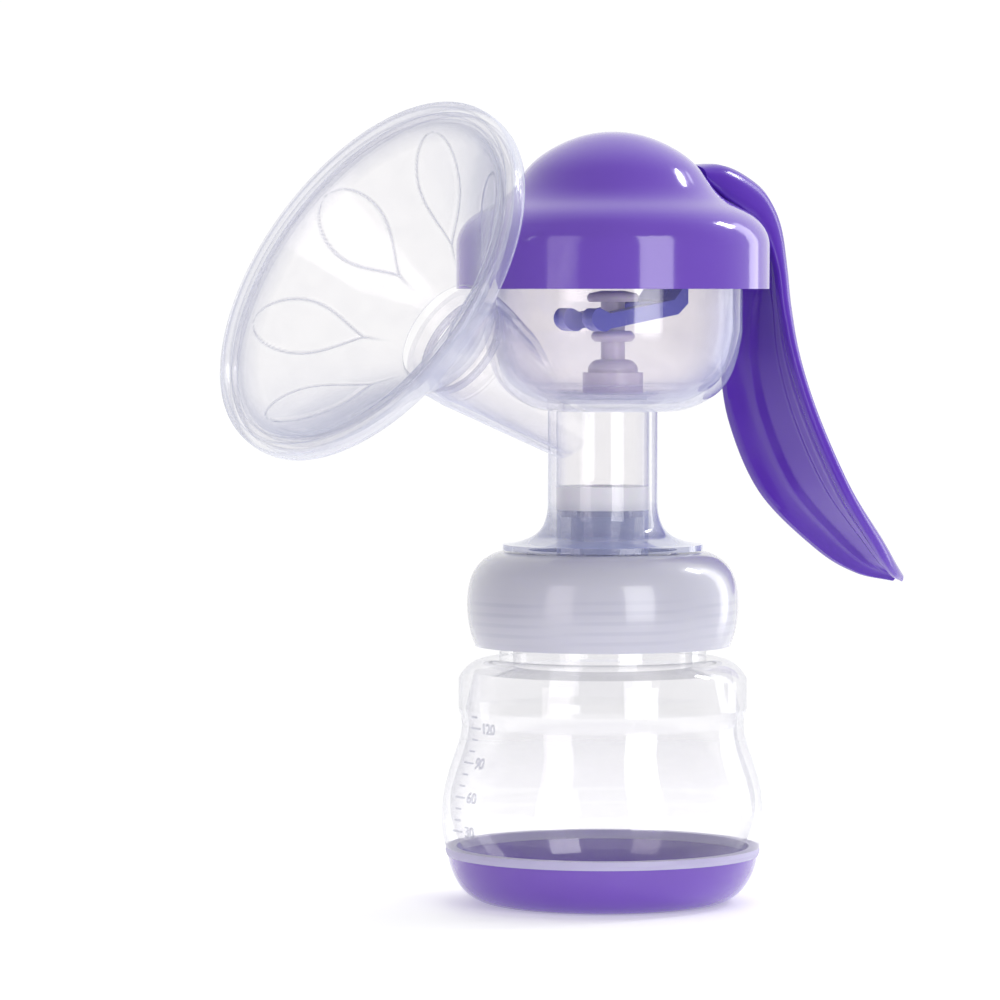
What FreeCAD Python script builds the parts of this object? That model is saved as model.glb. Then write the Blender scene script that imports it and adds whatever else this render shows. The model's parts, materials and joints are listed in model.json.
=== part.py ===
import FreeCAD, Part
import math
import os
from FreeCAD import Vector

os.makedirs("parts", exist_ok=True)

# bottle and screw collar, on the Z axis
bottle_r = 37.3
neck_r = 23.0
neck_top = 76.0
thread_pitch = 4.0
thread_turns = 2.0
ridge_reach = 1.6
collar_bore = 25.0

# pump body: the neck is on the Z axis, the bowl and cap on a parallel axis behind it
bowl_x = 3.0
bowl_r = 30.0
bowl_floor = 115.6
bowl_rim = 150.0
bore_r = 10.75
wall = 1.8

# funnel axis: it rises from the neck, its rim facing away from the handle
horn_rise = 30.1
rim_centre = Vector(-68.8, 0, 144.9)
rim_r = 43.2
throat_r = 13.5
throat_depth = 28.2
spigot_r = 11.85
spigot_end = 35.4
socket_r = 12.2

# cap
skirt_r = 36.25
skirt_low = 142.0
dome_r = 27.5
dome_top = 178.3
roof = 155.5
cap_wall = 2.0

# handle, fork and stem
pivot = Vector(35.5, 0, 162)
fork_slope = 9.0
hub_half = 2.6
ear_gap = 2.9
ear_half = 4.9
ear_r = 3.7
pin_r = 1.5
prong_half = 7.0
prong_thick = 3.5
rod_r = 2.8
head_low = 139.0
head_r = 6.0
flange_top = 132.3
floor_top = 117.8


def outline(*runs):
    # closed outline in the XZ plane: one point is a corner, two a straight side, more a smooth curve
    rows = [[Vector(r, 0, z) for r, z in run] for run in runs]
    edges = []
    for here, after in zip(rows, rows[1:] + rows[:1]):
        if len(here) == 2:
            edges.append(Part.makeLine(here[0], here[1]))
        if len(here) > 2:
            curve = Part.BSplineCurve()
            curve.interpolate(here)
            edges.append(curve.toShape())
        if here[-1].distanceToPoint(after[0]) > 1e-6:
            edges.append(Part.makeLine(here[-1], after[0]))
    return Part.Face(Part.Wire(edges))


def lathe(*runs, at=0.0):
    turned = outline(*runs).revolve(Vector(), Vector(0, 0, 1), 360)
    turned.translate(Vector(at, 0, 0))
    return turned


def ring(inner, outer, low, high, at=0.0):
    return lathe([(inner, low)], [(outer, low)], [(outer, high)], [(inner, high)], at=at)


def disc(radius, low, high, at=0.0):
    return Part.makeCylinder(radius, high - low, Vector(at, 0, low))


def sector(inner, outer, low, high, middle, sweep):
    # part of a ring about the bowl axis, centred on the angle middle
    face = outline([(inner, low)], [(outer, low)], [(outer, high)], [(inner, high)])
    piece = face.revolve(Vector(), Vector(0, 0, 1), sweep)
    piece.rotate(Vector(), Vector(0, 0, 1), middle - sweep / 2)
    piece.translate(Vector(bowl_x, 0, 0))
    return piece


def slab(half_y, *runs):
    # an outline in the XZ plane given a thickness across the middle plane
    piece = outline(*runs).extrude(Vector(0, 2 * half_y, 0))
    piece.translate(Vector(0, -half_y, 0))
    return piece


def wedge(points, half_x):
    # a closed outline in the YZ plane given a thickness across X
    wire = Part.makePolygon([Vector(-half_x, y, z) for y, z in points + points[:1]])
    return Part.Face(wire).extrude(Vector(2 * half_x, 0, 0))


def box(low, high):
    size = Vector(*high) - Vector(*low)
    return Part.makeBox(size.x, size.y, size.z, Vector(*low))


def ridge(root, crest, low):
    # right-hand thread ridge from root to crest, its lower end centred at low
    turns = Part.makeHelix(thread_pitch, thread_pitch * thread_turns, root)
    half_root, half_crest = 0.7, 0.4
    corners = [
        Vector(root, 0, -half_root),
        Vector(crest, 0, -half_crest),
        Vector(crest, 0, half_crest),
        Vector(root, 0, half_root),
    ]
    thread = Part.Wire(turns).makePipeShell([Part.makePolygon(corners + corners[:1])], True, True)
    thread.translate(Vector(0, 0, low))
    return thread


def on_funnel_axis(shape):
    # from upright, with the rim centre at zero and depth running down, to its tilted place
    shape.rotate(Vector(), Vector(0, 1, 0), horn_rise - 90)
    shape.translate(rim_centre)
    return shape


def bell(start, end, inset):
    # the cone's outer surface from depth start to end, moved towards its open side by inset
    points = []
    spread = (rim_r - throat_r) / (throat_depth - 2.4) ** 1.08
    for step in range(7):
        depth = start + (end - start) * step / 6
        left = max(throat_depth - depth, 0.0)
        slope = 1.08 * spread * max(left, 0.5) ** 0.08
        length = math.hypot(1.0, slope)
        radius = throat_r + spread * left ** 1.08 - inset / length
        points.append((radius, -depth + inset * slope / length))
    return points


def make_bottle_shell():
    outside = [(33.9, 13.0), (36.5, 13.0)]
    belly = [(36.5, 13.0), (bottle_r, 22.5), (34.9, 32.8), (32.8, 40.0), (33.4, 45.0)]
    shoulder = [(33.4, 52.0), (31.0, 55.0), (24.0, 56.5)]
    inner_belly = [(31.8, 45.0), (31.1, 40.0), (33.1, 32.5), (35.4, 22.5), (34.2, 16.4), (31.6, 11.0), (27.0, 4.6)]
    shell = lathe(
        [(0, 2.2)],
        [(29.0, 2.2), (32.4, 6.0), (33.9, 12.0)],
        outside,
        belly,
        shoulder,
        [(24.0, 60.0)],
        [(neck_r, 60.0), (neck_r, neck_top)],
        [(neck_r - 2.2, neck_top), (neck_r - 2.2, 54.8)],
        [(29.8, 53.4)],
        inner_belly,
        [(0, 4.6)],
    )
    return shell.fuse(ridge(neck_r - 0.2, neck_r + ridge_reach, 63.0))


def make_bottle_base():
    return lathe(
        [(0, 0)],
        [(26.0, 0), (30.5, 1.4), (33.8, 4.8), (35.6, 9.0), (36.0, 11.0)],
        [(34.1, 11.0), (32.9, 6.6), (29.4, 2.2)],
        [(0, 2.2)],
    )


def make_base_seal_ring():
    return lathe([(33.95, 11.0), (36.1, 11.0)], [(36.45, 12.0)], [(36.4, 13.0), (33.95, 13.0)])


def make_collar():
    shell = lathe(
        [(27.7, 59.5), (29.5, 59.5)],
        [(29.5, 59.5), (30.7, 63.0), (31.4, 68.0), (31.2, 72.5), (29.7, 77.0), (27.6, 79.4), (23.5, 81.3)],
        [(17.7, 81.3), (17.7, 79.5)],
        [(collar_bore, 79.5), (collar_bore, 60.2)],
        [(collar_bore + wall, 60.2), (collar_bore + wall, 76.6)],
        [(28.4, 75.2), (29.6, 71.5), (29.6, 68.0), (28.9, 63.0), (27.7, 59.5)],
    )
    low = 63.0 - thread_pitch / 2
    return shell.fuse(ridge(collar_bore + 0.2, collar_bore - ridge_reach, low))


def make_pump_body():
    bowl = lathe(
        [(0, bowl_floor - wall)],
        [(15.5, bowl_floor - wall), (20.8, 115.6), (26.1, 119.9), (28.3, 124.4), (bowl_r, 132.0)],
        [(bowl_r, 147.5), (33.5, 147.5)],
        [(33.5, bowl_rim), (0, bowl_rim)],
        at=bowl_x,
    )
    bowl_inside = lathe(
        [(0, bowl_floor)],
        [(15.5, bowl_floor), (19.9, 117.3), (24.6, 121.0), (26.6, 125.0), (bowl_r - wall, 132.0)],
        [(bowl_r - wall, bowl_rim + 1), (0, bowl_rim + 1)],
        at=bowl_x,
    )
    neck = lathe(
        [(0, 114.5), (12.7, 114.5)],
        [(12.7, 92.5), (13.1, 89.4), (14.6, 86.2), (17.6, 84.2), (23.2, 83.0)],
        [(23.2, 81.7), (17.2, 81.7)],
        [(17.2, 79.2), (22.6, 79.2)],
        [(22.6, 77.2), (0, 77.2)],
    )
    horn = on_funnel_axis(lathe([(0, -28.4)], [(14.1, -28.4)], [(13.4, -36.0)], [(6.3, -79.5)], [(0, -79.5)]))
    passage = on_funnel_axis(lathe(
        [(0, -27.0)], [(socket_r, -27.0)], [(socket_r, -36.0)],
        [(11.8, -36.0)], [(4.8, -79.5)], [(0, -79.5)],
    ))
    passage = passage.fuse(disc(bore_r, 70.0, 114.5)).cut(bowl)
    body = bowl.fuse([neck, horn]).cut([bowl_inside, passage])
    suction_port = disc(2.0, 108.0, 119.0, at=-14.0)
    body = body.cut(suction_port)
    for middle in (100, 220, 340):
        body = body.cut(sector(30.7, 34.0, 147.0, 151.0, middle, 34))
    return body.removeSplitter()


def make_valve_seat():
    collar = ring(5.0, bore_r + 0.03, 91.0, 96.4)
    return collar.fuse(ring(4.2, 6.0, 85.0, 91.5)).removeSplitter()


def make_duckbill_valve():
    outer = [(7.4, 84.0), (7.4, 82.0), (0.9, 67.0), (-0.9, 67.0), (-7.4, 82.0), (-7.4, 84.0)]
    inner = [(6.2, 84.0), (6.2, 82.0), (0.15, 68.5), (-0.15, 68.5), (-6.2, 82.0), (-6.2, 84.0)]
    lips = wedge(outer, 7.4).common(disc(7.4, 66.0, 84.0))
    hollow = wedge(inner, 6.2).common(disc(6.2, 66.0, 84.0))
    slit = box((-5.5, -0.1, 66.0), (5.5, 0.1, 69.0))
    sleeve = ring(6.2, 7.4, 84.0, 91.0).cut(ring(6.0, 6.2, 84.0, 85.0))
    brim = ring(6.05, 9.6, 89.4, 91.0)
    return lips.cut([hollow, slit]).fuse([sleeve, brim]).removeSplitter()


def make_funnel():
    shell = lathe(
        [(rim_r, -3.6), (rim_r, -1.7)],
        [(40.9, -1.7)],
        bell(3.4, 27.6, wall),
        [(10.2, -28.8), (10.2, -spigot_end)],
        [(spigot_r, -spigot_end), (spigot_r, -throat_depth)],
        bell(3.6, throat_depth, 0.0)[::-1],
    )
    return on_funnel_axis(shell.cut(ring(10.95, spigot_r + 1, -32.4, -31.0)))


def make_funnel_seal_ring():
    return on_funnel_axis(ring(10.95, socket_r - 0.05, -32.4, -31.0))


def make_cushion():
    return on_funnel_axis(lathe(
        [(43.6, -4.0), (44.9, -4.0)],
        [(45.4, -3.2)],
        [(45.4, -0.6), (44.5, 0.9), (43.2, 1.2), (42.0, 0.7)],
        [(41.0, 0.2)],
        bell(3.4, 27.4, 3.6),
        bell(4.2, 27.4, 2.1)[::-1],
        [(40.4, -1.4), (43.6, -1.4)],
    ))


def make_diaphragm():
    return lathe(
        [(0, floor_top - 1.4)],
        [(15.0, floor_top - 1.4), (19.0, 117.6), (23.7, 121.4), (25.9, 125.5), (27.6, 133.0)],
        [(27.6, 150.1), (32.0, 150.1)],
        [(32.0, 151.6), (26.3, 151.6)],
        [(26.3, 133.0), (24.7, 126.0), (22.7, 122.4), (18.4, 118.9), (15.0, floor_top)],
        [(0, floor_top)],
        at=bowl_x,
    )


def make_clamp_ring():
    return ring(26.5, 32.5, 151.6, 154.5, at=bowl_x)


def make_cap_gasket():
    return ring(27.0, 32.0, 154.5, roof, at=bowl_x)


def make_cap():
    dome_z = dome_top - dome_r
    inner_r = dome_r - cap_wall
    dome = [(dome_r * math.sin(a), dome_z + dome_r * math.cos(a)) for a in (1.05, 0.8, 0.5, 0.25, 0.0)]
    inner_dome = [(0, dome_z + inner_r)]
    inner_dome += [(inner_r * math.sin(a), dome_z + inner_r * math.cos(a)) for a in (0.4, 0.8, 1.1)]
    inner_dome += [(math.sqrt(inner_r ** 2 - (roof - dome_z) ** 2), roof)]
    cap = lathe(
        [(skirt_r - cap_wall, skirt_low), (skirt_r, skirt_low)],
        [(skirt_r, skirt_low), (skirt_r, 152.0)],
        [(skirt_r, 152.0), (35.6, 155.0), (33.6, 157.9), (30.0, 160.4), (26.6, 162.2)] + dome,
        inner_dome,
        [(32.5, roof), (skirt_r - cap_wall, 153.5)],
        at=bowl_x,
    )
    for side in (-1, 1):
        cap = cap.fuse(make_ear(side))
    slot = box((20.0, -ear_gap, roof - 0.3), (33.4, ear_gap, 165.6))
    hub_room = box((33.0, -ear_gap, 157.2), (41.0, ear_gap, 165.6))
    hooks = [sector(31.0, skirt_r - 1.9, 144.6, 147.1, middle, 28) for middle in (60, 180, 300)]
    cap = cap.cut([slot, hub_room]).fuse(hooks)
    return cap.cut(pivot_rod(pin_r - 0.03, 10.0)).removeSplitter()


def make_ear(side):
    eye = Part.makeCylinder(ear_r, ear_half - ear_gap, Vector(pivot.x, ear_gap, pivot.z), Vector(0, 1, 0))
    foot = box((pivot.x - ear_r, ear_gap, 156.2), (pivot.x + 2.5, ear_half, pivot.z))
    ear = eye.fuse(foot)
    if side < 0:
        ear = ear.mirror(Vector(), Vector(0, 1, 0))
    return ear


def pivot_rod(radius, half):
    return Part.makeCylinder(radius, 2 * half, Vector(pivot.x, -half, pivot.z), Vector(0, 1, 0))


def handle_section(front, back, half, inner):
    # channel section across the handle: front is between its two edges, back is its crown
    across = Vector(0, 1, 0)
    low = Vector(front[0], 0, front[1])
    out = Vector(back[0], 0, back[1]) - low
    depth = out.Length
    out.normalize()
    if inner:
        marks = [(half - 1.6, -1.0), (0.97 * half - 1.6, 0.45 * depth), (0.72 * half - 0.9, 0.9 * depth - 1.7)]
        crown = depth - wall
    else:
        marks = [(half, 0.0), (0.97 * half, 0.5 * depth), (0.72 * half, 0.9 * depth)]
        crown = depth
    right = [low + across * y + out * d for y, d in marks]
    left = [low - across * y + out * d for y, d in marks]
    curve = Part.BSplineCurve()
    curve.interpolate(right + [low + out * crown] + left[::-1])
    return Part.Wire([curve.toShape(), Part.makeLine(left[0], right[0])])


def make_handle():
    # front edge point, crown point and half width, from the hook over the cap down to the tip
    stations = [
        ((26.2, 167.4), (25.4, 170.9), 6.6),
        ((31.0, 163.6), (33.5, 171.2), 7.6),
        ((36.4, 160.8), (41.0, 168.4), 8.0),
        ((40.8, 158.4), (46.6, 164.4), 8.0),
        ((44.2, 153.5), (50.2, 157.4), 8.2),
        ((46.4, 146.3), (51.5, 147.0), 8.8),
        ((46.6, 137.0), (51.6, 137.6), 10.4),
        ((47.4, 124.4), (52.2, 125.9), 13.4),
        ((52.0, 109.8), (56.5, 111.9), 15.6),
        ((62.0, 92.8), (65.9, 95.9), 15.8),
        ((76.2, 79.2), (79.4, 82.9), 11.8),
        ((85.0, 73.3), (87.0, 76.7), 7.4),
        ((92.8, 71.0), (93.5, 72.9), 1.8),
    ]
    body = Part.makeLoft([handle_section(*station, False) for station in stations], True, False)
    hollow = Part.makeLoft([handle_section(*station, True) for station in stations[:-2]], True, True)
    return body.cut(hollow)


def make_fork(handle):
    fork_at_stem = (head_low + flange_top) / 2
    rise = math.tan(math.radians(fork_slope))
    half = prong_thick / 2 / math.cos(math.radians(fork_slope))

    def bar(x, side):
        return (x, fork_at_stem + (x - bowl_x) * rise + side * half)

    plate = slab(
        prong_half,
        [bar(-3.5, -1), bar(17.0, -1)],
        [(20.0, 138.6)],
        [(20.0, 144.0)],
        [bar(15.9, 1), bar(-3.5, 1)],
        [(-6.0, 137.4), (-8.2, 137.0), (-9.0, 135.0), (-7.6, 133.0), bar(-3.5, -1)],
    )
    slot = box((-20.0, -rod_r - 0.5, 125.0), (13.8, rod_r + 0.5, 150.0))
    arm = slab(
        hub_half,
        [(16.0, 139.4), (19.5, 146.0), (24.5, 154.5), (29.6, 162.4), (33.2, 165.2)],
        [(35.5, 165.8)],
        [(47.0, 165.0)],
        [(49.0, 158.0)],
        [(35.5, 158.4)],
        [(32.5, 158.2), (29.3, 156.4), (27.8, 151.5), (25.0, 144.5), (20.5, 138.8), (16.0, 136.4)],
    )
    hub = pivot_rod(ear_r, hub_half)
    fork = plate.cut(slot).fuse([arm, hub]).cut(pivot_rod(pin_r + 0.05, 10.0))
    pieces = fork.cut(handle).Solids
    return max(pieces, key=lambda solid: solid.Volume)


def make_pin():
    return pivot_rod(pin_r, ear_half)


def make_stem():
    rod = disc(rod_r, 119.6, head_low, at=bowl_x).fuse(disc(1.8, head_low, 140.6, at=bowl_x))
    flange = lathe(
        [(0, 129.8)],
        [(4.2, 129.8), (5.1, 131.05), (4.2, flange_top)],
        [(0, flange_top)],
        at=bowl_x,
    )
    return rod.fuse(flange).removeSplitter()


def make_stem_head():
    head = lathe(
        [(0, head_low)],
        [(head_r - 0.4, head_low), (head_r, head_low + 1.0), (head_r - 0.6, head_low + 2.0)],
        [(2.6, head_low + 2.6)],
        [(0, head_low + 2.6)],
        at=bowl_x,
    )
    return head.cut(disc(1.77, head_low - 1, 140.6, at=bowl_x))


def make_stem_guide():
    boss = lathe(
        [(0, floor_top), (7.0, floor_top)],
        [(7.0, 122.7), (6.2, 122.7)],
        [(6.2, 119.0), (5.8, 119.0)],
        [(5.8, 123.6), (5.0, 125.0), (3.4, 125.7)],
        [(0, 125.7)],
        at=bowl_x,
    )
    return boss.cut(disc(rod_r - 0.03, 119.6, 127.0, at=bowl_x))


handle = make_handle()
pieces = {
    "bottle_shell": make_bottle_shell(),
    "bottle_base": make_bottle_base(),
    "base_seal_ring": make_base_seal_ring(),
    "bottle_collar": make_collar(),
    "pump_body": make_pump_body(),
    "bottle_gasket": ring(neck_r - 2.2, 22.6, neck_top + 0.05, 77.2),
    "valve_seat": make_valve_seat(),
    "duckbill_valve": make_duckbill_valve(),
    "funnel": make_funnel(),
    "funnel_seal_ring": make_funnel_seal_ring(),
    "massage_cushion": make_cushion(),
    "cap": make_cap(),
    "clamp_ring": make_clamp_ring(),
    "cap_gasket": make_cap_gasket(),
    "diaphragm": make_diaphragm(),
    "pivot_pin": make_pin(),
    "handle": handle,
    "lever_fork": make_fork(handle),
    "stem": make_stem(),
    "stem_head": make_stem_head(),
    "stem_guide": make_stem_guide(),
}
for name, shape in pieces.items():
    print(name, len(shape.Solids), shape.isValid(), round(shape.Volume))
    shape.exportStep("parts/" + name + ".step")
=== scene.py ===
import json
import math

import bmesh
import bpy
from mathutils import Matrix, Vector
from mathutils.bvhtree import BVHTree


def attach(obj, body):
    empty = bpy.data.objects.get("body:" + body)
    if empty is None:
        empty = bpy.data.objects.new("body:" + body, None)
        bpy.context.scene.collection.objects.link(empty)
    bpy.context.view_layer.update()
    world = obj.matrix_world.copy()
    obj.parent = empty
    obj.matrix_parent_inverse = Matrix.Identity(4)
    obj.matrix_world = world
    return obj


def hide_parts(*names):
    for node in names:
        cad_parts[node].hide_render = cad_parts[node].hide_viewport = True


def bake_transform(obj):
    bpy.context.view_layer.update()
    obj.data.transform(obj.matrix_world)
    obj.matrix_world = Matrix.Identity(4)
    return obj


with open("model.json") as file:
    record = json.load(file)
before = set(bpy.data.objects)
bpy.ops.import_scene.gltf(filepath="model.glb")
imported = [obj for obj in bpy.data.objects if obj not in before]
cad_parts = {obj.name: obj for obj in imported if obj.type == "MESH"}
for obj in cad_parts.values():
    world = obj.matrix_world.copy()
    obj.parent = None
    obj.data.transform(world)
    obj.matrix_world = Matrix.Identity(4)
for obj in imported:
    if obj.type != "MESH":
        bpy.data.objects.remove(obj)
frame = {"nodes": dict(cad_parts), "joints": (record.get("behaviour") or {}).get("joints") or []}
nodes = frame["nodes"]
joints = {joint["name"]: joint for joint in frame["joints"]}
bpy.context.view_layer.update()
print("frame loaded:", len(nodes), "nodes")

mm = 0.001


# Small helpers that write a shader or a Geometry Nodes tree as plain expressions.
class Value:  # an output socket that can stand in an expression
    def __init__(self, maker, socket):
        self.maker = maker
        self.socket = socket

    def __add__(self, other):
        return self.maker.math("ADD", self, other)

    def __sub__(self, other):
        return self.maker.math("SUBTRACT", self, other)

    def __rsub__(self, other):
        return self.maker.math("SUBTRACT", other, self)

    def __mul__(self, other):
        return self.maker.math("MULTIPLY", self, other)

    def __pow__(self, other):
        return self.maker.math("POWER", self, other)

    __radd__ = __add__
    __rmul__ = __mul__


class Maker:  # adds nodes to one tree
    def __init__(self, tree):
        self.tree = tree
        tree.nodes.clear()

    def add(self, kind, settings=None, inputs=None, output=0):
        node = self.tree.nodes.new(kind)
        for key, value in (settings or {}).items():
            if key == "stops":
                self.setStops(node.color_ramp.elements, value)
            else:
                setattr(node, key, value)
        for key, value in (inputs or {}).items():
            if isinstance(value, Value):
                self.tree.links.new(value.socket, node.inputs[key])
            else:
                node.inputs[key].default_value = value
        return Value(self, node.outputs[output]) if node.outputs else None

    def setStops(self, elements, stops):
        while len(elements) < len(stops):
            elements.new(0.5)
        for element, (place, level) in zip(elements, stops):
            element.position = place
            element.color = (level, level, level, 1)

    def objectPlace(self, stretch=(1, 1, 1)):
        place = self.add("ShaderNodeTexCoord", output=3)
        return self.add("ShaderNodeMapping", {}, {"Vector": place, "Scale": stretch})

    def math(self, operation, first, second):
        return self.add("ShaderNodeMath", {"operation": operation}, {0: first, 1: second})

    def apart(self):  # the three object coordinates
        node = self.add("ShaderNodeSeparateXYZ", {}, {"Vector": self.objectPlace()}).socket.node
        return [Value(self, socket) for socket in node.outputs]

    def fade(self, start, end):  # 0 at height start, 1 at height end
        height = self.apart()[2]
        low, high = sorted((start, end))
        limits = {"Value": height, "From Min": low, "From Max": high}
        share = self.add("ShaderNodeMapRange", {"interpolation_type": "SMOOTHSTEP"}, limits)
        return share if start < end else 1 - share

    def noise(self, perMetre, detail=3.0, stretch=(1, 1, 1)):
        place = self.objectPlace(stretch)
        return self.add("ShaderNodeTexNoise", {}, {"Vector": place, "Scale": perMetre, "Detail": detail})

    def ramp(self, value, *stops):
        return self.add("ShaderNodeValToRGB", {"stops": stops}, {"Fac": value})

    def mixColour(self, share, first, second):
        settings = {"data_type": "RGBA"}
        colours = {0: share, 6: (*first, 1), 7: (*second, 1)}
        return self.add("ShaderNodeMix", settings, colours, output=2)

    def bump(self, height, distance, strength=1.0):
        sizes = {"Height": height, "Distance": distance, "Strength": strength}
        return self.add("ShaderNodeBump", {}, sizes)


def newMaterial(name, build, look):
    material = bpy.data.materials.new(name)
    material.use_nodes = True
    maker = Maker(material.node_tree)
    shader = build(maker, look)
    maker.add("ShaderNodeOutputMaterial", {}, {"Surface": shader})
    return material


# The finishes. Each one reads its numbers from its look in the table below them.
def glossyPlastic(maker, look):  # moulded plastic: cloudy pigment, faint orange peel, fine scuffs
    cloud = maker.noise(look["cloudScale"], 2.0)
    scuffPerMetre, peelPerMetre = 900, 420
    scuff = maker.ramp(maker.noise(scuffPerMetre, 4.0, (1, 1, 0.25)), (0.56, 0.0), (0.74, 1.0))
    peel = maker.noise(peelPerMetre, 2.0)
    return maker.add("ShaderNodeBsdfPrincipled", {}, {
        "Base Color": maker.mixColour(cloud, look["deep"], look["pale"]),
        "Roughness": scuff * look["scuff"] + look["rough"],
        "Normal": maker.bump(peel, 0.04 * mm, look["peel"]),
        "IOR": look["ior"],
        "Coat Weight": look["coat"],
        "Coat Roughness": 0.03,
        "Subsurface Weight": look["glow"],
        "Subsurface Radius": (2.0, 1.2, 3.0),
        "Subsurface Scale": 0.5 * mm,
    })


def clearShell(maker, look):  # clear moulding: its tint gathers where the wall is seen edge on
    hazePerMetre, tintPerMetre = 150, 60
    haze = maker.ramp(maker.noise(hazePerMetre, 4.0), (0.42, 0.0), (0.8, 1.0))
    wave = maker.bump(maker.noise(look["waveScale"], 1.5, look["flow"]), look["wave"] * mm)
    facing = maker.add("ShaderNodeLayerWeight", {}, {"Blend": 0.5, "Normal": wave}, output=1)
    density = facing ** look["power"] * look["edge"] + haze * look["haze"] + look["body"]
    if "crease" in look:  # painted shade: the tint gathers along the petal grooves and the rim lines
        shadeDrawn = maker.add("ShaderNodeAttribute", {"attribute_name": "crease"}, output=2)
        density = density + shadeDrawn * look["crease"]
    if "mistHigh" in look:  # the lower end of the pump body is left frosted by its mould
        density = density + maker.fade(look["mistHigh"], look["mistLow"]) * look["mist"]
    tint = maker.mixColour(maker.noise(tintPerMetre, 2.0), look["pale"], look["deep"])
    if "stain" in look:  # painted light: the wall just over the base carries a lit purple that stands in for the base seen inside it
        low = maker.fade(look["stainHigh"], look["stainLow"])
        baseLightMix = {0: low, 6: tint, 7: (*look["stain"], 1)}
        tint = maker.add("ShaderNodeMix", {"data_type": "RGBA"}, baseLightMix, output=2)
    milk = maker.add("ShaderNodeBsdfPrincipled", {}, {
        "Base Color": tint, "Roughness": haze * 0.1 + look["rough"], "Normal": wave, "IOR": 1.45})
    through = maker.add("ShaderNodeBsdfTransparent", {}, {"Color": (*look["through"], 1)})
    wall = maker.add("ShaderNodeMixShader", {}, {0: density, 1: through, 2: milk})
    shine = {"Color": (1, 1, 1, 1), "Roughness": look["rough"]}
    gloss = maker.add("ShaderNodeBsdfAnisotropic", {}, shine)
    mirror = facing ** 5 * look["glance"] + look["gloss"]
    return maker.add("ShaderNodeMixShader", {}, {0: mirror, 1: wall, 2: gloss})


def frostedThread(maker, look):  # frosted collar: milky, its inner screw thread showing as slanted bands
    x, y, z = maker.apart()
    fullTurn = 2 * math.pi
    turn = maker.math("ARCTAN2", y, x) * (1 / fullTurn)
    climb = look["bandsPerPitch"] / look["pitch"]
    near = maker.math("SINE", (z * climb - turn * look["starts"]) * fullTurn, 0)
    far = maker.math("SINE", (z * climb + turn * look["starts"]) * fullTurn, 0)
    inThread = maker.fade(look["threadLow"], look["threadLow"] + look["threadFade"])
    inThread = inThread * maker.fade(look["threadHigh"], look["threadHigh"] - look["threadFade"])
    band = maker.ramp(near * 0.3 + far * 0.2 + 0.5, (0.5, 0.0), (0.85, 1.0)) * inThread
    frostPerMetre, cloudPerMetre = 1400, 55
    frost = maker.noise(frostPerMetre, 2.0)
    shade = band * look["bandShade"] + maker.noise(cloudPerMetre, 2.0) * look["cloudShade"]
    milk = maker.mixColour(shade, look["pale"], look["shade"])
    return maker.add("ShaderNodeBsdfPrincipled", {}, {
        "Base Color": milk,
        "Roughness": frost * 0.08 + look["rough"],
        "Alpha": look["solid"],
        "Normal": maker.bump(frost, 0.02 * mm, 0.5),
        "IOR": 1.49,
        "Coat Weight": 0.8,
        "Coat Roughness": 0.03,
        "Subsurface Weight": 0.3,
        "Subsurface Radius": (1.5, 1.5, 2.2),
        "Subsurface Scale": 1.0 * mm,
    })


def groundSteel(maker, look):  # a turned and ground pin
    lines = maker.noise(look["linesPerMetre"], 3.0, (1, 0.05, 1))
    return maker.add("ShaderNodeBsdfPrincipled", {}, {
        "Base Color": maker.mixColour(lines, look["dark"], look["bright"]),
        "Roughness": lines * 0.2 + look["rough"],
        "Metallic": 1.0,
    })


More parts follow.
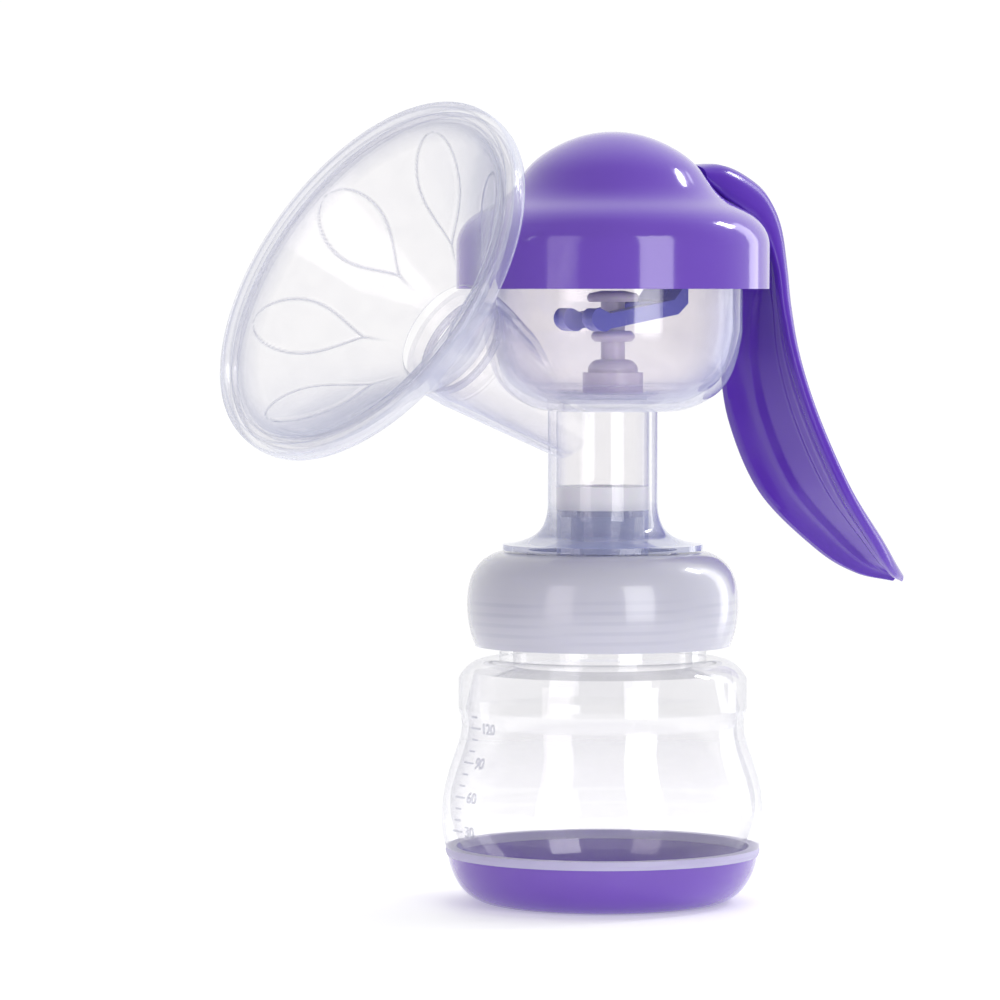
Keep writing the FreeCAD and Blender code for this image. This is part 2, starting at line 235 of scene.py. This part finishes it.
looks = {
    "capPurple": (glossyPlastic, {
        "deep": (0.145, 0.062, 0.47), "pale": (0.168, 0.078, 0.53), "cloudScale": 45,
        "rough": 0.13, "scuff": 0.05, "peel": 0.25, "coat": 0.5, "glow": 0.06, "ior": 1.5}),
    "handlePurple": (glossyPlastic, {
        "deep": (0.090, 0.024, 0.40), "pale": (0.118, 0.038, 0.47), "cloudScale": 38,
        "rough": 0.2, "scuff": 0.04, "peel": 0.35, "coat": 0.12, "glow": 0.08, "ior": 1.38}),
    "basePurple": (glossyPlastic, {
        "deep": (0.142, 0.055, 0.44), "pale": (0.168, 0.070, 0.50), "cloudScale": 50,
        "rough": 0.12, "scuff": 0.05, "peel": 0.2, "coat": 0.6, "glow": 0.1, "ior": 1.5}),
    "forkPurple": (glossyPlastic, {
        "deep": (0.11, 0.11, 0.60), "pale": (0.14, 0.14, 0.68), "cloudScale": 60,
        "rough": 0.22, "scuff": 0.1, "peel": 0.3, "coat": 0.1, "glow": 0.05, "ior": 1.5}),
    "stemPale": (glossyPlastic, {
        "deep": (0.60, 0.55, 0.72), "pale": (0.68, 0.63, 0.79), "cloudScale": 90,
        "rough": 0.32, "scuff": 0.08, "peel": 0.3, "coat": 0.1, "glow": 0.25, "ior": 1.5}),
    "whitePlastic": (glossyPlastic, {
        "deep": (0.74, 0.74, 0.80), "pale": (0.80, 0.80, 0.85), "cloudScale": 70,
        "rough": 0.3, "scuff": 0.08, "peel": 0.3, "coat": 0.1, "glow": 0.2, "ior": 1.5}),
    "paleRubber": (glossyPlastic, {
        "deep": (0.46, 0.43, 0.64), "pale": (0.52, 0.49, 0.70), "cloudScale": 80,
        "rough": 0.42, "scuff": 0.1, "peel": 0.5, "coat": 0.0, "glow": 0.2, "ior": 1.5}),
    "bottleClear": (clearShell, {
        "through": (0.986, 0.984, 0.989), "pale": (0.58, 0.59, 0.68), "deep": (0.50, 0.51, 0.63),
        "body": 0.014, "edge": 0.85, "power": 5.0, "haze": 0.01, "rough": 0.03, "gloss": 0.05, "glance": 0.35,
        "wave": 0.15, "waveScale": 36, "flow": (1, 1, 0.15),
        # painted light: a lit purple tint low on the wall, standing in for the base seen through it
        "stainHigh": 15 * mm, "stainLow": 9 * mm, "stain": (0.38, 0.30, 0.92)}),
    "scaleClear": (clearShell, {
        "through": (0.95, 0.95, 0.97), "pale": (0.60, 0.61, 0.72), "deep": (0.50, 0.52, 0.66),
        "body": 0.10, "edge": 0.5, "power": 1.6, "haze": 0.05, "rough": 0.1, "gloss": 0.035, "glance": 0.45,
        "wave": 0.1, "waveScale": 200, "flow": (1, 1, 1)}),
    "bodyClear": (clearShell, {
        "through": (0.991, 0.985, 0.988), "pale": (0.50, 0.54, 0.78), "deep": (0.38, 0.43, 0.72),
        "body": 0.010, "edge": 0.95, "power": 3.4, "haze": 0.02, "rough": 0.05, "gloss": 0.04, "glance": 0.5,
        "wave": 0.35, "waveScale": 38, "flow": (1, 1, 0.2),
        "mistHigh": 94 * mm, "mistLow": 88 * mm, "mist": 0.3}),
    "funnelClear": (clearShell, {
        "through": (0.992, 0.989, 0.992), "pale": (0.58, 0.60, 0.74), "deep": (0.44, 0.48, 0.68),
        "body": 0.004, "edge": 0.8, "power": 3.6, "haze": 0.02, "rough": 0.06, "gloss": 0.018, "glance": 0.45,
        "wave": 0.25, "waveScale": 34, "flow": (0.4, 0.4, 1)}),
    "cushionClear": (clearShell, {
        "through": (0.992, 0.989, 0.992), "pale": (0.58, 0.60, 0.74), "deep": (0.44, 0.48, 0.68),
        "body": 0.004, "edge": 0.8, "power": 3.0, "haze": 0.02, "rough": 0.09, "gloss": 0.018, "glance": 0.45,
        "wave": 0.3, "waveScale": 40, "flow": (1, 1, 1), "crease": 0.55}),
    "diaphragmBlue": (clearShell, {
        "through": (0.988, 0.978, 0.984), "pale": (0.52, 0.53, 0.80), "deep": (0.42, 0.45, 0.76),
        "body": 0.015, "edge": 0.6, "power": 2.8, "haze": 0.02, "rough": 0.2, "gloss": 0.02, "glance": 0.2,
        "wave": 0.4, "waveScale": 60, "flow": (1, 1, 0.3)}),
    "valveSilicone": (clearShell, {
        "through": (0.95, 0.95, 0.97), "pale": (0.72, 0.72, 0.84), "deep": (0.62, 0.63, 0.80),
        "body": 0.25, "edge": 0.5, "power": 1.5, "haze": 0.05, "rough": 0.25, "gloss": 0.02, "glance": 0.2,
        "wave": 0.2, "waveScale": 80, "flow": (1, 1, 1)}),
    "collarFrosted": (frostedThread, {
        "pale": (0.60, 0.60, 0.70), "shade": (0.50, 0.50, 0.62), "rough": 0.2, "solid": 0.9,
        "pitch": 4 * mm, "starts": 3, "bandsPerPitch": 1.7, "bandShade": 0.5, "cloudShade": 0.25,
        "threadLow": 59.5 * mm, "threadHigh": 73 * mm, "threadFade": 3 * mm}),
    "pinSteel": (groundSteel, {
        "dark": (0.42, 0.42, 0.44), "bright": (0.62, 0.62, 0.64), "rough": 0.2, "linesPerMetre": 700}),
}
materials = {name: newMaterial(name, build, look) for name, (build, look) in looks.items()}


finishOfNode = {
    "bottle_shell": "bottleClear", "bottle_base": "basePurple", "base_seal_ring": "paleRubber",
    "bottle_collar": "collarFrosted", "pump_body": "bodyClear", "bottle_gasket": "paleRubber",
    "valve_seat": "whitePlastic", "duckbill_valve": "valveSilicone", "funnel": "funnelClear",
    "funnel_seal_ring": "valveSilicone", "massage_cushion": "cushionClear", "cap": "capPurple",
    "clamp_ring": "whitePlastic", "cap_gasket": "paleRubber", "diaphragm": "diaphragmBlue",
    "pivot_pin": "pinSteel", "handle": "handlePurple", "lever_fork": "forkPurple",
    "stem": "stemPale", "stem_head": "stemPale", "stem_guide": "stemPale",
}
for name, finish in finishOfNode.items():
    for materialSlot in nodes[name].material_slots:
        materialSlot.material = materials[finish]
print("finishes set on the carried-over nodes")


# Helpers for the pieces that are modelled here.
def meshObject(name, verts, faces, finish, body, slot, *replaced):
    mesh = bpy.data.meshes.new(name)
    mesh.from_pydata([tuple(v) for v in verts], [], faces)
    work = bmesh.new()
    work.from_mesh(mesh)
    bmesh.ops.remove_doubles(work, verts=work.verts, dist=1e-7)
    bmesh.ops.recalc_face_normals(work, faces=work.faces)
    work.to_mesh(mesh)
    work.free()
    mesh.shade_smooth()
    mesh.materials.append(materials[finish])
    piece = bpy.data.objects.new(name, mesh)
    bpy.context.scene.collection.objects.link(piece)
    if body:
        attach(piece, body)
    if replaced:
        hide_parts(*replaced)
    return piece


def through(points, count):  # a smooth line through a few points, at even steps of its parameter
    ends = [2 * points[0] - points[1]] + list(points) + [2 * points[-1] - points[-2]]
    line = []
    for step in range(count + 1):
        at = step / count * (len(points) - 1)
        span = min(int(at), len(points) - 2)
        t = at - span
        a, b, c, d = ends[span:span + 4]
        square = 2 * a - 5 * b + 4 * c - d
        cube = 3 * b - a - 3 * c + d
        line.append(0.5 * (2 * b + (c - a) * t + square * t * t + cube * t ** 3))
    return line


def easeStep(low, high, value):
    t = min(max((value - low) / (high - low), 0.0), 1.0)
    return t * t * (3 - 2 * t)


def gridFaces(rows, columns, closedRows, closedColumns):
    faces = []
    for i in range(rows if closedRows else rows - 1):
        for j in range(columns if closedColumns else columns - 1):
            a = i * columns + j
            b = i * columns + (j + 1) % columns
            c = (i + 1) % rows * columns + (j + 1) % columns
            d = (i + 1) % rows * columns + j
            faces.append((a, b, c, d))
    return faces


def plainMesh(piece):  # the evaluated result as an ordinary mesh, with no modifier left
    graph = bpy.context.evaluated_depsgraph_get()
    plain = bpy.data.meshes.new_from_object(piece.evaluated_get(graph))
    piece.modifiers.clear()
    piece.data = plain


# The massage cushion: a silicone bell with seven outlined petals and a beaded rim.
cushion = {  # lengths in mm, but for rimCentre
    "rimCentre": Vector((-68.8, 0, 144.9)) * mm,
    "around": 448,
    "petals": 7,
    "petalTurn": -3.5,  # degrees
    "petalTip": 18.6,  # radius of the pointed end
    "petalEnd": 38.4,  # radius of the round end
    "petalHalf": 7.3,
    "petalWidest": 0.62,  # share of the way from tip to end
    "petalRaise": 0.35,
    "grooveDepth": 0.42,
    "grooveHalf": 0.42,
    # radii of the rim's painted shade lines and of its painted shade band
    "rimShadeLines": (41.6, 43.4, 45.3),
    "rimShadeBand": 40.1,
    "throat": 13.5,
    "rim": 43.2,
    "deep": 28.2,
    "flare": 1.08,  # power of the bell's curve
    "skinInset": 3.6,
    "backInset": 2.1,
}


def petalHeight(radius, angle):  # how far the cone's skin stands out at this radius, in mm
    share = 2 * math.pi / cushion["petals"]
    turned = angle - math.radians(cushion["petalTurn"])
    aside = abs((turned + share / 2) % share - share / 2) * radius
    along = (radius - cushion["petalTip"]) / (cushion["petalEnd"] - cushion["petalTip"])
    if along < -0.28 or along > 1.1:
        return 0.0
    widest = cushion["petalWidest"]
    if along < widest:
        half = cushion["petalHalf"] * max(math.sin(math.pi / 2 * max(along, 0) / widest), 0) ** 1.15
    else:
        half = cushion["petalHalf"] * math.sqrt(max(1 - ((along - widest) / (1 - widest)) ** 2, 0))
    edge = aside - half
    if along > 1.0:
        edge = max(edge, (along - 1.0) * 40)
    groove = math.exp(-(edge / cushion["grooveHalf"]) ** 2) * easeStep(-0.28, 0.05, along)
    inside = 1 - easeStep(-1.2, -0.2, edge)
    return cushion["petalRaise"] * inside - cushion["grooveDepth"] * groove


def bellLine(start, end, inset, steps):  # the same bell as the hard funnel, moved towards its open side
    throat, power = cushion["throat"], cushion["flare"]
    rimDepth, leastLeft = 2.4, 0.5
    spread = (cushion["rim"] - throat) / (cushion["deep"] - rimDepth) ** power
    line = []
    for step in range(steps + 1):
        depth = start + (end - start) * step / steps
        left = max(cushion["deep"] - depth, leastLeft)
        slope = power * spread * left ** (power - 1)
        length = math.hypot(1, slope)
        radius = throat + spread * left ** power
        line.append(Vector((radius - inset / length, -depth + inset * slope / length)))
    return line


def paintedRimShade(radius):  # painted shade: a broad band inside the rim and fine lines along its bead
    bandHalf, lineHalf = 0.9, 0.2
    band = 0.5 * math.exp(-((radius - cushion["rimShadeBand"]) / bandHalf) ** 2)
    return band + sum(0.6 * math.exp(-((radius - line) / lineHalf) ** 2) for line in cushion["rimShadeLines"])


def makeCushion():
    skin = bellLine(3.6, 27.2, cushion["skinInset"], 118)
    back = bellLine(27.2, 4.2, cushion["backInset"], 12)
    bead = through([Vector(p) for p in (
        (40.4, -1.5), (41.9, -1.5), (43.6, -1.6), (43.7, -3.9), (44.6, -4.1), (45.3, -3.0), (45.4, -0.8),
        (44.9, 0.7), (43.9, 1.15), (43.1, 0.75), (42.6, 0.25), (42.1, 0.35), (41.6, 0.5), (41.1, 0.3),
        (40.5, -0.25), (40.1, -0.45))], 75)
    throatEnd = []  # a slightly rounded lip joins the two skins at the throat
    for k in (1, 2, 3):
        throatEnd.append(skin[-1].lerp(back[0], k / 4) + Vector((0, -0.12 * math.sin(math.pi * k / 4))))
    profile = skin + throatEnd + back + bead
    axis = Vector(joints["funnel_pull"]["axis"]).normalized()
    upright = Vector((axis.z, 0, -axis.x))
    side = Vector((0, -1, 0))
    across, along = 0.63, 0.78  # a petal stands out square to the cone's wall
    verts = []
    creaseShades = []
    for i, point in enumerate(profile):
        on = i < len(skin)
        rim = paintedRimShade(point.x) if point.y > -4.2 else 0.0
        for j in range(cushion["around"]):
            angle = 2 * math.pi * j / cushion["around"]
            stand = petalHeight(point.x, angle) if on else 0.0
            # painted shade in the petal grooves, plus the rim's painted shade, stored for the shader
            creaseShades.append(max(-stand / cushion["grooveDepth"], 0.0) ** 1.6 + rim)
            radius, height = point.x - across * stand, point.y + along * stand
            spoke = upright * math.cos(angle) + side * math.sin(angle)
            verts.append(cushion["rimCentre"] + (spoke * radius + axis * height) * mm)
    faces = gridFaces(len(profile), cushion["around"], True, True)
    piece = meshObject(
        "massageCushion", verts, faces, "cushionClear", "cushion", "cushion_silicone", "massage_cushion")
    shadeDrawn = piece.data.attributes.new("crease", "FLOAT", "POINT")
    shadeDrawn.data.foreach_set("value", creaseShades)


makeCushion()
print("massage cushion made")


# The handle: a leaf-shaped channel with rolled edges, two long ridges and a sunk panel inside.
handle = {  # lengths in mm, places as shares of the half width or of the length
    "along": 190,
    "wall": 1.9,
    "ridgeHeight": 0.55,
    "ridgePlace": 0.46,
    "ridgeHalf": 0.055,
    "panelSink": 0.7,
    "panelHalf": 0.4,
    "panelTop": 0.42,
    "panelArch": 0.12,
    "softEdge": 0.35,
}
handleStations = [  # front edge x z, crown x z, half width, in mm, from the hook over the cap to the tip
    (26.2, 167.4, 25.4, 170.9, 6.6), (31.0, 163.6, 33.5, 171.2, 7.6), (36.4, 160.8, 41.0, 168.4, 8.0),
    (40.8, 158.4, 46.6, 164.4, 8.0), (44.2, 153.5, 50.2, 157.4, 8.2), (46.4, 146.3, 51.5, 147.0, 8.8),
    (46.6, 137.0, 51.6, 137.6, 10.4), (47.4, 124.4, 52.2, 125.9, 13.4), (52.0, 109.8, 56.5, 111.9, 15.6),
    (62.0, 92.8, 65.9, 95.9, 15.8), (76.2, 79.2, 79.4, 82.9, 11.8), (85.0, 73.3, 87.0, 76.7, 7.4),
    (92.8, 71.2, 93.4, 72.9, 2.0),
]


def channelSection(half, depth, along):  # y and distance from the front edge, round the closed section
    wall = min(handle["wall"], depth * 0.45, half * 0.5)
    outer = [(half, 0.35), (half, depth * 0.25), (half * 0.97, depth * 0.5), (half * 0.86, depth * 0.76),
             (half * 0.62, depth * 0.93), (half * 0.3, depth * 0.99), (0, depth)]
    panel = handle["panelHalf"]
    inner = []
    for k in range(25):
        v = 1 - k / 12
        y = (half - wall) * v
        rise = (depth - wall) * (1 - abs(v) ** 3.2)
        reach = easeStep(0.12, 0.2, along) * (1 - easeStep(0.86, 0.97, along))
        ridge = math.exp(-((abs(v) - handle["ridgePlace"]) / handle["ridgeHalf"]) ** 2)
        ridge *= handle["ridgeHeight"] * reach
        top = 2  # beyond the handle's end, so there is no panel
        if abs(v) < panel:
            top = handle["panelTop"] + handle["panelArch"] * (1 - math.sqrt(max(1 - (v / panel) ** 2, 0)))
        sink = handle["panelSink"] * easeStep(top, top + 0.03, along) * (1 - easeStep(0.33, panel, abs(v)))
        sink *= 1 - easeStep(0.85, 0.97, along)
        inner.append((y, max(rise - ridge + sink * 0.8, 0.0)))
    lip = [(half - 0.15 * wall, 0.02), (half - 0.5 * wall, -0.12), (half - 0.9 * wall, 0.05)]
    mirrored = [(-y, d) for y, d in outer[-2::-1]]
    mirroredLip = [(-y, d) for y, d in lip]
    return outer + mirrored + mirroredLip + inner[::-1] + lip[::-1]


def makeHandle():
    fronts = through([Vector((a, b)) for a, b, _, _, _ in handleStations], handle["along"])
    crowns = through([Vector((c, d)) for _, _, c, d, _ in handleStations], handle["along"])
    halves = through([Vector((half, 0)) for _, _, _, _, half in handleStations], handle["along"])
    verts = []
    for step, (front, crown, half) in enumerate(zip(fronts, crowns, halves)):
        out = (crown - front).normalized()
        section = channelSection(half.x, (crown - front).length, step / handle["along"])
        for y, depth in section:
            place = front + out * depth
            verts.append(Vector((place.x, y, place.y)) * mm)
    columns = len(section)
    rows = handle["along"] + 1
    faces = gridFaces(rows, columns, False, True)
    faces.append(tuple(range(columns)))
    faces.append(tuple(range((rows - 1) * columns, rows * columns)))
    return meshObject("squeezeHandle", verts, faces, "handlePurple", None, "handle_purple")


def finishHandle(piece):
    bevel = piece.modifiers.new("soft edges", "BEVEL")
    bevel.width = handle["softEdge"] * mm
    bevel.segments = 3
    bevel.angle_limit = math.radians(50)
    plainMesh(piece)
    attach(piece, "lever")
    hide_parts("handle")


finishHandle(makeHandle())
print("handle made")


# The diaphragm: a soft cup that hangs from the flange under the cap.
diaphragm = {
    "axisX": 3.0,
    "around": 160,
    "heldAbove": 147,  # heights in mm between which the wall gives
    "freeBelow": 119,
}


def makeDiaphragm():
    outside = through([Vector(p) for p in (
        (31.8, 150.15), (29.5, 150.2), (27.7, 149.4), (27.6, 144.0), (27.55, 136.0), (27.2, 131.0),
        (26.1, 125.8), (24.0, 121.6), (21.2, 118.9), (17.8, 117.2), (12.0, 116.5), (6.0, 116.5))], 70)
    inside = through([Vector(p) for p in (
        (6.0, 117.7), (12.0, 117.7), (16.6, 118.3), (17.6, 119.2), (18.4, 119.7), (20.4, 120.2),
        (22.9, 122.5), (24.8, 126.2), (25.9, 131.4), (26.2, 136.0), (26.25, 144.0), (26.3, 150.0),
        (27.0, 151.3), (31.8, 151.5))], 80)
    profile = outside + [Vector((0.02, 116.5)), Vector((0.02, 117.7))] + inside
    verts = []
    for point in profile:
        for j in range(diaphragm["around"]):
            angle = 2 * math.pi * j / diaphragm["around"]
            x = diaphragm["axisX"] + point.x * math.cos(angle)
            verts.append(Vector((x, point.x * math.sin(angle), point.y)) * mm)
    faces = gridFaces(len(profile), diaphragm["around"], True, True)
    piece = meshObject("diaphragmCup", verts, faces, "diaphragmBlue", None, "diaphragm_silicone")
    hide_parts("diaphragm")
    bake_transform(piece)


makeDiaphragm()
print("diaphragm made")


# The graduations: raised strokes up the bottle's side, with plain numbers beside the long ones.
graduations = {
    "turn": math.radians(168),
    "lowest": 18.0 * mm,
    "spacing": 2.6 * mm,
    "count": 11,
    "every": 3,
    "longStroke": 4.4 * mm,
    "shortStroke": 2.4 * mm,
    "thick": 0.42 * mm,
    "proud": 0.16 * mm,
    "numbers": ["30", "60", "90", "120"],
    "numberHeight": 3.6 * mm,
    "numberGap": 0.9 * mm,
    "wallRadius": 35 * mm,
    "startRadius": 60 * mm,  # well outside the bottle, where the way to its wall begins
}


def makeStrokes():  # Geometry Nodes: a row of points dropped onto the wall, each given a stroke
    tree = bpy.data.node_groups.new("bottle graduations", "GeometryNodeTree")
    tree.interface.new_socket("Geometry", in_out="OUTPUT", socket_type="NodeSocketGeometry")
    sizes = {}
    lengths = ("lowest", "spacing", "longStroke", "shortStroke", "thick", "proud", "startRadius")
    for kind, labels in (("NodeSocketFloat", lengths), ("NodeSocketInt", ("count", "every"))):
        for label in labels:
            socket = tree.interface.new_socket(label, in_out="INPUT", socket_type=kind)
            sizes[label] = socket.identifier
    maker = Maker(tree)
    given = maker.add("NodeGroupInput").socket.node
    size = {label: Value(maker, given.outputs[label]) for label in sizes}
    upStep = maker.add("ShaderNodeCombineXYZ", {}, {"Z": size["spacing"]})
    upStart = maker.add("ShaderNodeCombineXYZ", {}, {"X": size["startRadius"], "Z": size["lowest"]})
    row = maker.add("GeometryNodeMeshLine", {}, {
        "Count": size["count"], "Start Location": upStart, "Offset": upStep})
    number = maker.add("GeometryNodeInputIndex")
    remainder = maker.math("MODULO", number, size["every"])
    isShort = maker.math("GREATER_THAN", remainder, 0.5)
    stroke = size["longStroke"] + (size["shortStroke"] - size["longStroke"]) * isShort
    wall = maker.add("GeometryNodeObjectInfo", {"transform_space": "ORIGINAL"}, output=4)
    wall.socket.node.inputs[0].default_value = nodes["bottle_shell"]
    here = maker.add("GeometryNodeInputPosition")
    hit = maker.add("GeometryNodeRaycast", {}, {
        "Target Geometry": wall, "Source Position": here,
        "Ray Direction": (-1, 0, 0), "Ray Length": size["startRadius"]}).socket.node
    hitPlace = Value(maker, hit.outputs[1])
    onWall = maker.add("GeometryNodeSetPosition", {}, {"Geometry": row, "Position": hitPlace})
    block = maker.add("GeometryNodeMeshCube", {}, {
        "Size": (1, 1, 1), "Vertices X": 2, "Vertices Y": 6, "Vertices Z": 2})
    extent = maker.add("ShaderNodeCombineXYZ", {}, {
        "X": size["proud"] * 2, "Y": stroke, "Z": size["thick"]})
    strokes = maker.add("GeometryNodeInstanceOnPoints", {}, {
        "Points": onWall, "Instance": block, "Scale": extent})
    solid = maker.add("GeometryNodeRealizeInstances", {}, {"Geometry": strokes})
    finished = maker.add("GeometryNodeSetMaterial", {}, {
        "Geometry": solid, "Material": materials["scaleClear"]})
    maker.add("NodeGroupOutput", {}, {0: finished})
    return tree, sizes


def makeGraduations():
    tree, sizes = makeStrokes()
    piece = bpy.data.objects.new("graduationStrokes", bpy.data.meshes.new("graduationStrokes"))
    bpy.context.scene.collection.objects.link(piece)
    modifier = piece.modifiers.new("strokes", "NODES")
    modifier.node_group = tree
    for label, identifier in sizes.items():
        modifier[identifier] = graduations[label]
    plainMesh(piece)
    piece.data.transform(Matrix.Rotation(graduations["turn"], 4, "Z"))
    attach(piece, "bottle")
    print("graduation strokes made:", len(piece.data.polygons), "faces")


def makeNumbers():  # flat numerals bent round the wall and set on it
    wall = BVHTree.FromPolygons(
        [v.co.copy() for v in nodes["bottle_shell"].data.vertices],
        [tuple(p.vertices) for p in nodes["bottle_shell"].data.polygons])
    work = bmesh.new()
    for place, number in enumerate(graduations["numbers"]):
        curve = bpy.data.curves.new("numeral", "FONT")
        curve.body = number
        curve.size = graduations["numberHeight"]
        curve.extrude = graduations["proud"]
        curve.resolution_u = 4
        curve.align_y = "CENTER"
        text = bpy.data.objects.new("numeral", curve)
        bpy.context.scene.collection.objects.link(text)
        graph = bpy.context.evaluated_depsgraph_get()
        flat = bpy.data.meshes.new_from_object(text.evaluated_get(graph))
        height = graduations["lowest"] + graduations["spacing"] * graduations["every"] * place
        for vertex in flat.vertices:
            across = vertex.co.x + graduations["longStroke"] * 0.5 + graduations["numberGap"]
            angle = graduations["turn"] + across / graduations["wallRadius"]
            spoke = Vector((math.cos(angle), math.sin(angle), 0))
            start = spoke * graduations["startRadius"] + Vector((0, 0, height + vertex.co.y))
            onWall = wall.ray_cast(start, -spoke)[0]
            vertex.co = onWall + spoke * vertex.co.z
        work.from_mesh(flat)
        bpy.data.objects.remove(text)
    bmesh.ops.remove_doubles(work, verts=work.verts, dist=1e-7)
    bmesh.ops.recalc_face_normals(work, faces=work.faces)
    mesh = bpy.data.meshes.new("graduationNumbers")
    work.to_mesh(mesh)
    work.free()
    mesh.materials.append(materials["scaleClear"])
    piece = bpy.data.objects.new("graduationNumbers", mesh)
    bpy.context.scene.collection.objects.link(piece)
    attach(piece, "bottle")
    print("graduation numbers made")


makeGraduations()
makeNumbers()


# The studio: a pale floor that melts into a white backdrop, five panels of light and a long lens.
studio = {
    "target": Vector((3.0, 0, 110.0)) * mm,
    "forward": Vector((0.6225, 0.7826, 0)),
    "right": Vector((0.7826, -0.6225, 0)),
    "lens": 186.8,
    "cameraPlace": Vector((-0.7656, -0.9243, 0.142)),
    "pitch": -2.33,
    "floorHalf": 6.0,
    "floorLook": {
        "low": (0.80, 0.80, 0.805), "high": (0.83, 0.83, 0.83), "lift": 0.34, "near": 0.12, "far": 0.6},
    "backdrop": {"From Min": -0.3, "From Max": 0.75, "To Min": 0.3, "To Max": 1.03},
    "bounces": 20,
    "clearWalls": 24,
}
panels = [  # name, place to the right, up and towards the camera, width, height, in m, glow, colour
    ("leftSoftbox", -0.82, 0.15, 1.05, 0.55, 1.2, 1.7, (1.0, 0.93, 0.95)),
    ("rightSoftbox", 0.68, 0.15, 1.15, 0.6, 1.2, 3.8, (1, 1, 1)),
    ("topPanel", 0.25, 1.5, -0.3, 1.3, 0.9, 2.6, (1, 1, 1)),
    ("highLamp", 0.9, 0.83, -0.45, 0.16, 0.26, 26.0, (1, 1, 1)),
    ("rightStrip", 1.1, 0.2, -0.75, 0.35, 1.4, 2.4, (1, 1, 1)),
]


def paleFloor(maker, look):  # a matt white sheet that clears away from the pump
    grain = maker.noise(12, 2.0)
    away = maker.add("ShaderNodeVectorMath", {"operation": "LENGTH"}, {0: maker.objectPlace()}, output=1)
    span = {"Value": away, "From Min": look["near"], "From Max": look["far"]}
    gone = maker.add("ShaderNodeMapRange", {"interpolation_type": "SMOOTHSTEP"}, span)
    sheet = maker.add("ShaderNodeBsdfPrincipled", {}, {
        "Base Color": maker.mixColour(grain, look["low"], look["high"]),
        "Roughness": 0.6,
        "Specular IOR Level": 0.2,
        "Emission Color": (1, 1, 1, 1),
        "Emission Strength": look["lift"],
    })
    clear = maker.add("ShaderNodeBsdfTransparent")
    return maker.add("ShaderNodeMixShader", {}, {0: gone, 1: sheet, 2: clear})


def makeFloor():
    half = studio["floorHalf"]
    verts = [(-half, -half, 0), (half, -half, 0), (half, half, 0), (-half, half, 0)]
    mesh = bpy.data.meshes.new("floor")
    mesh.from_pydata(verts, [], [(0, 1, 2, 3)])
    mesh.materials.append(newMaterial("paleFloor", paleFloor, studio["floorLook"]))
    floor = bpy.data.objects.new("floor", mesh)
    bpy.context.scene.collection.objects.link(floor)


def makeWorld():
    world = bpy.data.worlds.new("studio")
    world.use_nodes = True
    maker = Maker(world.node_tree)
    look = maker.add("ShaderNodeTexCoord", output=0)
    ways = {0: look, 1: studio["forward"]}
    toBack = maker.add("ShaderNodeVectorMath", {"operation": "DOT_PRODUCT"}, ways, output=1)
    level = maker.add("ShaderNodeMapRange", {"interpolation_type": "SMOOTHSTEP"}, {
        "Value": toBack, **studio["backdrop"]})
    glow = maker.add("ShaderNodeBackground", {}, {"Color": (1, 1, 1, 1), "Strength": level})
    maker.add("ShaderNodeOutputWorld", {}, {"Surface": glow})
    bpy.context.scene.world = world


def makePanel(name, sideways, up, towards, width, height, glow, colour):  # a softbox that faces the pump
    data = bpy.data.lights.new(name, "AREA")
    data.shape = "RECTANGLE"
    data.size = width
    data.size_y = height
    data.energy = glow * math.pi * width * height
    data.color = colour
    lamp = bpy.data.objects.new(name, data)
    lamp.visible_glossy = name != "topPanel"  # its reflection would flood the cap
    place = studio["right"] * sideways + Vector((0, 0, up)) - studio["forward"] * towards
    lamp.location = studio["target"] + place
    lamp.rotation_mode = "QUATERNION"
    lamp.rotation_quaternion = (-place).to_track_quat("-Z", "Y")
    bpy.context.scene.collection.objects.link(lamp)


def makeCamera():
    data = bpy.data.cameras.new("camera")
    data.lens = studio["lens"]
    data.sensor_width = 36
    data.clip_start = 0.05
    camera = bpy.data.objects.new("camera", data)
    camera.location = studio["cameraPlace"]
    camera.rotation_mode = "QUATERNION"
    pitch = math.radians(studio["pitch"])
    aim = studio["forward"].normalized() * math.cos(pitch) + Vector((0, 0, math.sin(pitch)))
    camera.rotation_quaternion = aim.to_track_quat("-Z", "Y")
    bpy.context.scene.collection.objects.link(camera)
    bpy.context.scene.camera = camera


makeFloor()
makeWorld()
for panel in panels:
    makePanel(*panel)
makeCamera()
scene = bpy.context.scene
scene.view_settings.view_transform = "Standard"
scene.cycles.max_bounces = studio["bounces"]  # light passes many clear walls
scene.cycles.transmission_bounces = studio["bounces"]
scene.cycles.transparent_max_bounces = studio["clearWalls"]
print("studio made")
